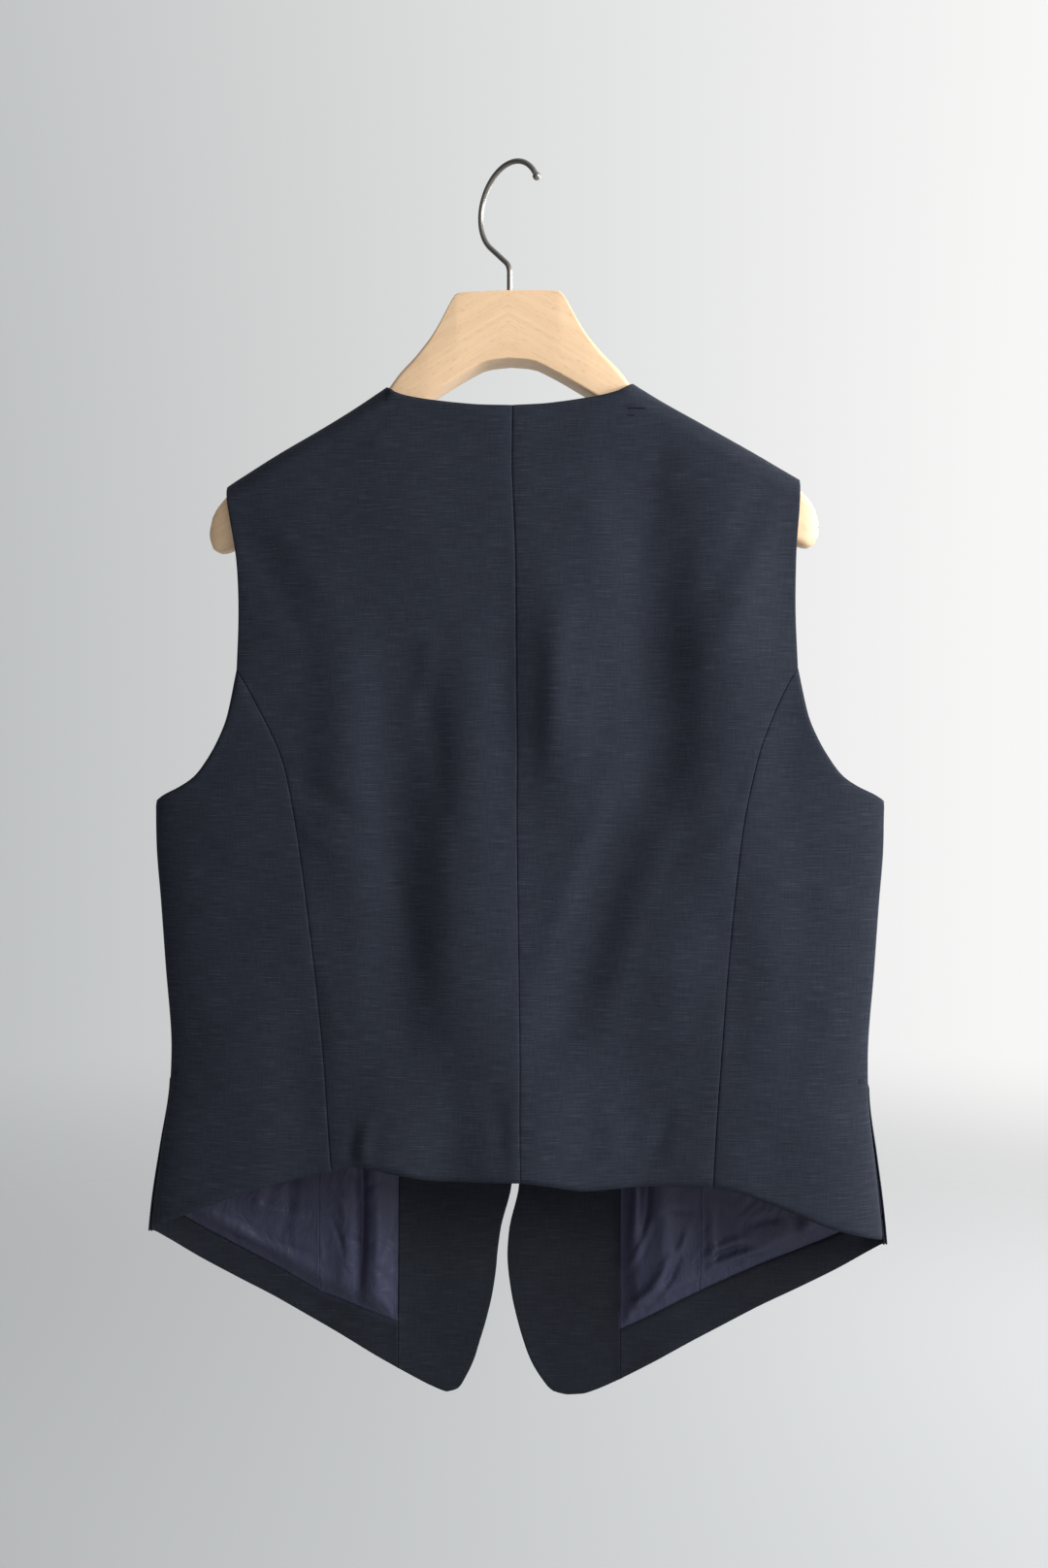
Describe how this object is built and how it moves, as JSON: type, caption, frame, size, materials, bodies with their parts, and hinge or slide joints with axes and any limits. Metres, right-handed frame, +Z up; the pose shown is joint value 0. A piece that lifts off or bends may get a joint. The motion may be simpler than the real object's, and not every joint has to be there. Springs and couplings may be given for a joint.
{
  "type": "suit waistcoat on a hanger",
  "caption": "Dark navy suit waistcoat with a V neck, cutaway front points, lined fronts and side vents, hung on a wooden hanger by its steel hook.",
  "frame": {"origin": "inside top of the hook, where it rests on what carries it", "axes": "+Z up, the wearer's front towards -Y, the wearer's left towards +X"},
  "size_m": [0.4819, 0.0663, 0.8105],
  "materials": {
    "cloth": "dark navy slubbed plain weave with a soft sheen",
    "facing": "dark navy slubbed plain weave, the cloth of the fronts",
    "lining": "dark blue violet satin lining",
    "button": "dark satin plastic",
    "beech": "pale beech with a clear satin varnish",
    "steel": "satin steel wire"
  },
  "bodies": {
    "root": {"back_left": "cloth", "back_right": "cloth", "side_back_left": "cloth", "side_back_right": "cloth", "front_left": "cloth", "front_right": "cloth", "facing_left": "facing", "facing_right": "facing", "hem_facing_left": "facing", "hem_facing_right": "facing", "lining_left": "lining", "lining_right": "lining", "lining_side_left": "lining", "lining_side_right": "lining", "button_1": "button", "button_2": "button", "button_3": "button", "button_4": "button", "button_5": "button", "hanger": "beech", "hook": "steel"}
  },
  "joints": []
}
